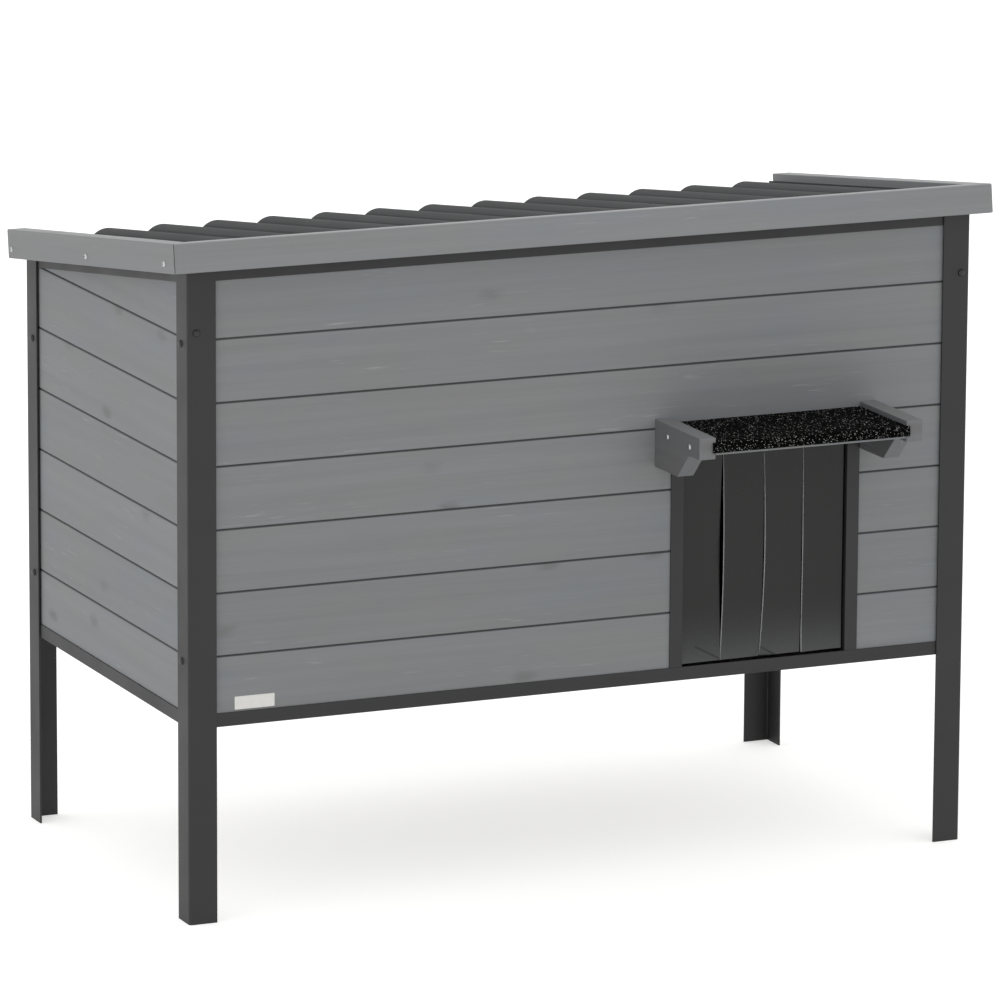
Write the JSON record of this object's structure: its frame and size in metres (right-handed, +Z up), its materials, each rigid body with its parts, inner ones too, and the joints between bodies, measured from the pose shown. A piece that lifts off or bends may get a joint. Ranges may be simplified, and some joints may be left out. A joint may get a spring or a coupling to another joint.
{
  "type": "outdoor cat house",
  "caption": "Raised boarded cat house in a steel angle frame, with a slit curtain doorway under a small awning and a hinged, sloping corrugated roof.",
  "frame": {"origin": "on the ground under the middle of the whole house, awning and lid included", "axes": "+X to the right of the front, +Y to the rear, +Z up"},
  "size_m": [0.8984, 0.5692, 0.6925],
  "materials": {
    "frame_steel": "anthracite powder coat, satin",
    "dark_bolts": "black coated",
    "zinc_steel": "bright zinc plated",
    "curtain_pvc": "smoky soft PVC",
    "mineral_felt": "black bitumen felt with pale mineral granules",
    "roof_sheet": "dark grey PVC, matt",
    "floor_board": "bare plywood",
    "stained_wood": "grey opaque wood stain"
  },
  "bodies": {
    "house": {"leg_front_left": "frame_steel", "leg_front_right": "frame_steel", "leg_rear_left": "frame_steel", "leg_rear_right": "frame_steel", "bottom_rail_front": "frame_steel", "bottom_rail_rear": "frame_steel", "bottom_rail_left": "frame_steel", "bottom_rail_right": "frame_steel", "top_rail_front": "frame_steel", "top_rail_rear": "frame_steel", "top_rail_left": "frame_steel", "top_rail_right": "frame_steel", "leg_bolts": "dark_bolts", "floor_panel": "floor_board", "front_boards_left_of_door": "stained_wood", "front_boards_right_of_door": "stained_wood", "front_board_5": "stained_wood", "front_board_6": "stained_wood", "front_board_7": "stained_wood", "left_wall_boards": "stained_wood", "left_gable_board": "stained_wood", "right_wall_boards": "stained_wood", "right_gable_board": "stained_wood", "rear_wall_boards": "stained_wood", "corner_post_front_left": "stained_wood", "corner_post_front_right": "stained_wood", "corner_post_rear_left": "stained_wood", "corner_post_rear_right": "stained_wood", "door_jamb_right": "frame_steel", "door_jamb_left": "frame_steel", "door_head": "frame_steel", "curtain_clamp_bar": "frame_steel", "curtain_top_band": "curtain_pvc", "curtain_header": "stained_wood", "curtain_screws": "zinc_steel", "awning_bracket_right": "stained_wood", "awning_bracket_left": "stained_wood", "awning_board": "stained_wood", "awning_felt": "mineral_felt", "awning_screws": "zinc_steel", "hinge_frame_leaves": "zinc_steel", "hinge_pins": "zinc_steel"},
    "roof_lid": {"fascia_front": "stained_wood", "fascia_left": "stained_wood", "fascia_right": "stained_wood", "roof_sheet": "roof_sheet", "fascia_screws": "zinc_steel", "lid_batten_front": "stained_wood", "lid_batten_middle": "stained_wood", "lid_batten_rear": "stained_wood", "hinge_lid_leaves": "zinc_steel"},
    "strip_1": {"door_strip_1": "curtain_pvc"},
    "strip_2": {"door_strip_2": "curtain_pvc"},
    "strip_3": {"door_strip_3": "curtain_pvc"},
    "strip_4": {"door_strip_4": "curtain_pvc"}
  },
  "joints": [
    {"name": "lid_hinge", "type": "hinge", "parent": "house", "child": "roof_lid", "pos_m": [0, 0.27666, 0.59662], "axis": [-1, 0, 0], "range_deg": [0, 90]},
    {"name": "strip_1_swing", "type": "hinge", "parent": "house", "child": "strip_1", "pos_m": [0.202, -0.17364, 0.4482], "axis": [1, 0, 0], "range_deg": [-75, 75]},
    {"name": "strip_2_swing", "type": "hinge", "parent": "house", "child": "strip_2", "pos_m": [0.202, -0.17364, 0.4482], "axis": [1, 0, 0], "range_deg": [-75, 75]},
    {"name": "strip_3_swing", "type": "hinge", "parent": "house", "child": "strip_3", "pos_m": [0.202, -0.17364, 0.4482], "axis": [1, 0, 0], "range_deg": [-75, 75]},
    {"name": "strip_4_swing", "type": "hinge", "parent": "house", "child": "strip_4", "pos_m": [0.202, -0.17364, 0.4482], "axis": [1, 0, 0], "range_deg": [-75, 75]}
  ]
}
